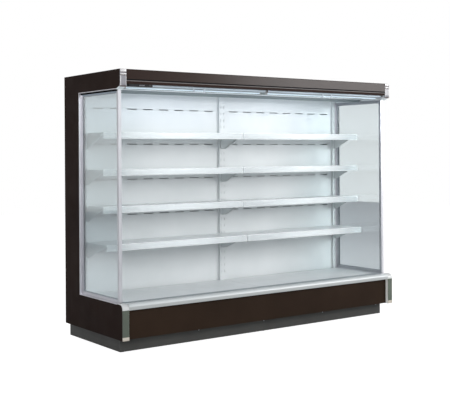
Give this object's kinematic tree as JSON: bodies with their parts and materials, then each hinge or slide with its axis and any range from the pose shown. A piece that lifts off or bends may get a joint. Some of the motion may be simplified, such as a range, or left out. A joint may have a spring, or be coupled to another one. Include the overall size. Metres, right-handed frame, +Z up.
{
  "type": "open multideck display fridge",
  "caption": "Open-front refrigerated display cabinet with tilting shelves in two bays, glazed end walls, lit canopy, lift-out deck trays, fans and pull-down night blinds.",
  "frame": {"origin": "middle of the footprint, on the floor under the feet", "axes": "+X along the fridge to the shopper's right, -Y towards the shopper, +Z up"},
  "size_m": [2.66, 0.9, 2],
  "materials": {
    "frame_paint": "satin powder coat on box section",
    "foot_plastic": "moulded pads on zinc plated stems",
    "kick_paint": "matt powder coat",
    "liner_paint": "white powder coat, satin",
    "shelf_paint": "white powder coat, satin",
    "back_paint": "pale grey pre-painted sheet",
    "panel_paint": "dark brown powder coat, fine texture",
    "front_paint": "dark brown powder coat, satin",
    "fascia_paint": "dark brown grey powder coat, semi gloss",
    "clear_glass": "clear sealed pane",
    "frame_aluminium": "satin anodised",
    "corner_aluminium": "satin anodised, grey",
    "bumper_plastic": "extruded grey bumper",
    "cap_plastic": "moulded pale grey",
    "end_cap_plastic": "moulded silver grey",
    "rail_plastic": "extruded mid grey",
    "grille_plastic": "moulded honeycomb, pale",
    "grille_paint": "grey powder coat",
    "lamp_plastic": "opal diffuser",
    "drain_plastic": "moulded grey",
    "fan_plastic": "moulded black",
    "blade_plastic": "moulded black",
    "fin_aluminium": "bare fins",
    "copper": "bright copper tube",
    "controller_plastic": "black, semi gloss",
    "key_plastic": "grey key",
    "switch_plastic": "black rocker",
    "blind_fabric": "aluminised woven blind",
    "bar_aluminium": "extruded, satin"
  },
  "bodies": {
    "cabinet": {"base_frame": "frame_paint", "levelling_feet": "foot_plastic", "kick_plate_front": "kick_paint", "kick_plate_sides": "kick_paint", "insulated_tub": "liner_paint", "drain_outlet": "drain_plastic", "rear_wall": "back_paint", "top_panel": "back_paint", "end_panel_left": "panel_paint", "end_panel_right": "panel_paint", "side_glass_left": "clear_glass", "side_glass_right": "clear_glass", "glass_frame_left": "frame_aluminium", "glass_frame_right": "frame_aluminium", "front_panel": "front_paint", "bumper_rail": "bumper_plastic", "corner_strips": "corner_aluminium", "corner_caps": "cap_plastic", "canopy_fascia": "fascia_paint", "fascia_end_caps": "end_cap_plastic", "canopy_ceiling": "liner_paint", "discharge_rail": "rail_plastic", "air_discharge_grille": "grille_plastic", "led_light_bars": "lamp_plastic", "rear_duct_panels": "liner_paint", "slotted_uprights": "liner_paint", "shelf_brackets_1": "liner_paint", "shelf_brackets_2": "liner_paint", "shelf_brackets_3": "liner_paint", "shelf_brackets_4": "liner_paint", "air_return_grille": "grille_paint", "fan_plenum": "liner_paint", "fan_housings": "fan_plastic", "evaporator_coil": "fin_aluminium", "pipe_stubs": "copper", "controller_housing": "controller_plastic", "blind_fabric_left": "blind_fabric", "blind_fabric_right": "blind_fabric"},
    "shelf_1_left": {"shelf_1_left": "shelf_paint"},
    "shelf_1_right": {"shelf_1_right": "shelf_paint"},
    "shelf_2_left": {"shelf_2_left": "shelf_paint"},
    "shelf_2_right": {"shelf_2_right": "shelf_paint"},
    "shelf_3_left": {"shelf_3_left": "shelf_paint"},
    "shelf_3_right": {"shelf_3_right": "shelf_paint"},
    "shelf_4_left": {"shelf_4_left": "shelf_paint"},
    "shelf_4_right": {"shelf_4_right": "shelf_paint"},
    "deck_tray_left": {"deck_tray_left": "liner_paint"},
    "deck_tray_right": {"deck_tray_right": "liner_paint"},
    "fan_impeller_1": {"fan_impeller_1": "blade_plastic"},
    "fan_impeller_2": {"fan_impeller_2": "blade_plastic"},
    "fan_impeller_3": {"fan_impeller_3": "blade_plastic"},
    "fan_impeller_4": {"fan_impeller_4": "blade_plastic"},
    "controller_button_1": {"controller_button_1": "key_plastic"},
    "controller_button_2": {"controller_button_2": "key_plastic"},
    "controller_button_3": {"controller_button_3": "key_plastic"},
    "light_switch": {"light_switch": "switch_plastic"},
    "blind_roller_left": {"blind_roller_left": "blind_fabric"},
    "blind_bar_left": {"blind_bar_left": "bar_aluminium"},
    "blind_roller_right": {"blind_roller_right": "blind_fabric"},
    "blind_bar_right": {"blind_bar_right": "bar_aluminium"}
  },
  "joints": [
    {"name": "shelf_1_left_tilt", "type": "hinge", "parent": "cabinet", "child": "shelf_1_left", "pos_m": [-0.64, 0.191, 0.718], "axis": [-1, 0, 0], "range_deg": [0, 18]},
    {"name": "shelf_1_right_tilt", "type": "hinge", "parent": "cabinet", "child": "shelf_1_right", "pos_m": [0.64, 0.191, 0.718], "axis": [-1, 0, 0], "range_deg": [0, 18]},
    {"name": "shelf_2_left_tilt", "type": "hinge", "parent": "cabinet", "child": "shelf_2_left", "pos_m": [-0.64, 0.191, 0.993], "axis": [-1, 0, 0], "range_deg": [0, 18]},
    {"name": "shelf_2_right_tilt", "type": "hinge", "parent": "cabinet", "child": "shelf_2_right", "pos_m": [0.64, 0.191, 0.993], "axis": [-1, 0, 0], "range_deg": [0, 18]},
    {"name": "shelf_3_left_tilt", "type": "hinge", "parent": "cabinet", "child": "shelf_3_left", "pos_m": [-0.64, 0.191, 1.268], "axis": [-1, 0, 0], "range_deg": [0, 18]},
    {"name": "shelf_3_right_tilt", "type": "hinge", "parent": "cabinet", "child": "shelf_3_right", "pos_m": [0.64, 0.191, 1.268], "axis": [-1, 0, 0], "range_deg": [0, 18]},
    {"name": "shelf_4_left_tilt", "type": "hinge", "parent": "cabinet", "child": "shelf_4_left", "pos_m": [-0.64, 0.191, 1.543], "axis": [-1, 0, 0], "range_deg": [0, 18]},
    {"name": "shelf_4_right_tilt", "type": "hinge", "parent": "cabinet", "child": "shelf_4_right", "pos_m": [0.64, 0.191, 1.543], "axis": [-1, 0, 0], "range_deg": [0, 18]},
    {"name": "deck_tray_left_lift", "type": "slide", "parent": "cabinet", "child": "deck_tray_left", "axis": [0, 0, 1], "range_m": [0, 0.12]},
    {"name": "deck_tray_right_lift", "type": "slide", "parent": "cabinet", "child": "deck_tray_right", "axis": [0, 0, 1], "range_m": [0, 0.12]},
    {"name": "fan_spin_1", "type": "hinge", "parent": "cabinet", "child": "fan_impeller_1", "pos_m": [-0.96, -0.172, 0.235], "axis": [0, 1, 0], "continuous": true},
    {"name": "fan_spin_2", "type": "hinge", "parent": "cabinet", "child": "fan_impeller_2", "pos_m": [-0.32, -0.172, 0.235], "axis": [0, 1, 0], "continuous": true},
    {"name": "fan_spin_3", "type": "hinge", "parent": "cabinet", "child": "fan_impeller_3", "pos_m": [0.32, -0.172, 0.235], "axis": [0, 1, 0], "continuous": true},
    {"name": "fan_spin_4", "type": "hinge", "parent": "cabinet", "child": "fan_impeller_4", "pos_m": [0.96, -0.172, 0.235], "axis": [0, 1, 0], "continuous": true},
    {"name": "button_press_1", "type": "slide", "parent": "cabinet", "child": "controller_button_1", "axis": [0, 1, 0], "range_m": [0, 0.0008], "stiffness_N_per_m": 500, "springref_m": -0.001},
    {"name": "button_press_2", "type": "slide", "parent": "cabinet", "child": "controller_button_2", "axis": [0, 1, 0], "range_m": [0, 0.0008], "stiffness_N_per_m": 500, "springref_m": -0.001},
    {"name": "button_press_3", "type": "slide", "parent": "cabinet", "child": "controller_button_3", "axis": [0, 1, 0], "range_m": [0, 0.0008], "stiffness_N_per_m": 500, "springref_m": -0.001},
    {"name": "light_switch_rock", "type": "hinge", "parent": "cabinet", "child": "light_switch", "pos_m": [-1.082, -0.417, 1.888], "axis": [-1, 0, 0], "range_deg": [0, 12]},
    {"name": "blind_pull_left", "type": "slide", "parent": "cabinet", "child": "blind_bar_left", "axis": [0, 0, -1], "range_m": [0, 1.49], "stiffness_N_per_m": 40, "springref_m": -0.5, "deforming": ["blind_fabric_left"]},
    {"name": "blind_roller_left_turn", "type": "hinge", "parent": "cabinet", "child": "blind_roller_left", "pos_m": [-0.64, -0.372, 1.945], "axis": [1, 0, 0], "continuous": true},
    {"name": "blind_pull_right", "type": "slide", "parent": "cabinet", "child": "blind_bar_right", "axis": [0, 0, -1], "range_m": [0, 1.49], "stiffness_N_per_m": 40, "springref_m": -0.5, "deforming": ["blind_fabric_right"]},
    {"name": "blind_roller_right_turn", "type": "hinge", "parent": "cabinet", "child": "blind_roller_right", "pos_m": [0.64, -0.372, 1.945], "axis": [1, 0, 0], "continuous": true}
  ],
  "couplings": [
    {"joint": "blind_roller_left_turn", "follows": "blind_pull_left", "rad_per_m": 55.556},
    {"joint": "blind_roller_right_turn", "follows": "blind_pull_right", "rad_per_m": 55.556}
  ]
}
